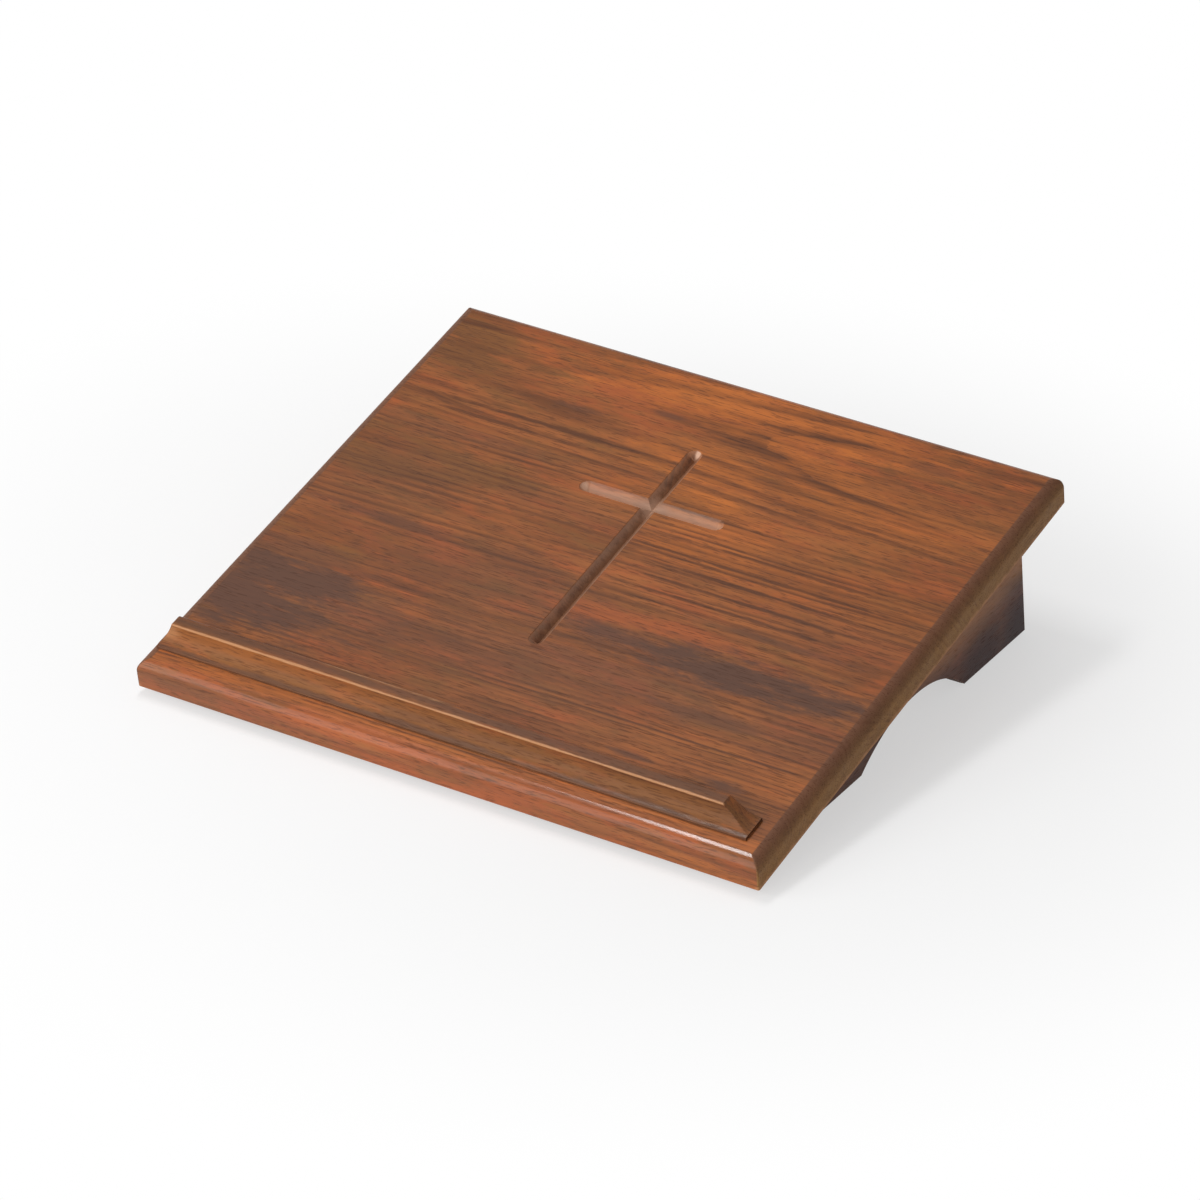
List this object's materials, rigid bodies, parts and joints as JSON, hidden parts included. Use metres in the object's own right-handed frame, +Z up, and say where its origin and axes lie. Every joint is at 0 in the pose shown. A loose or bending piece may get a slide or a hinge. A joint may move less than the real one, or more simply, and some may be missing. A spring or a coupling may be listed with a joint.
{
  "type": "missal stand",
  "caption": "Low sloping wooden stand that holds an open altar book, with a moulded ledge along the front, an engraved Latin cross and arched side legs.",
  "frame": {"origin": "on the table, under the middle of the stand's outline", "axes": "+X to the reader's right, +Y away from the reader and up the slope, +Z up"},
  "size_m": [0.406, 0.3654, 0.1034],
  "materials": {
    "board_wood": "walnut-brown stain under a satin lacquer, grain from side to side",
    "ledge_wood": "walnut-brown stain under a satin lacquer, grain along the ledge",
    "leg_wood": "walnut-brown stain under a satin lacquer, grain from front to back",
    "dowel_wood": "bare beech",
    "screw_steel": "zinc plated",
    "pad_felt": "pressed brown felt"
  },
  "bodies": {
    "root": {"board_front_stave": "board_wood", "board_middle_stave": "board_wood", "board_back_stave": "board_wood", "front_joint_dowel_1": "dowel_wood", "front_joint_dowel_2": "dowel_wood", "front_joint_dowel_3": "dowel_wood", "front_joint_dowel_4": "dowel_wood", "back_joint_dowel_1": "dowel_wood", "back_joint_dowel_2": "dowel_wood", "back_joint_dowel_3": "dowel_wood", "back_joint_dowel_4": "dowel_wood", "book_ledge": "ledge_wood", "ledge_screw_1": "screw_steel", "ledge_screw_2": "screw_steel", "ledge_screw_3": "screw_steel", "ledge_screw_4": "screw_steel", "left_leg": "leg_wood", "left_leg_front_dowel": "dowel_wood", "left_leg_back_dowel": "dowel_wood", "left_leg_front_screw": "screw_steel", "left_leg_back_screw": "screw_steel", "left_leg_front_pad": "pad_felt", "left_leg_back_pad": "pad_felt", "right_leg": "leg_wood", "right_leg_front_dowel": "dowel_wood", "right_leg_back_dowel": "dowel_wood", "right_leg_front_screw": "screw_steel", "right_leg_back_screw": "screw_steel", "right_leg_front_pad": "pad_felt", "right_leg_back_pad": "pad_felt"}
  },
  "joints": []
}
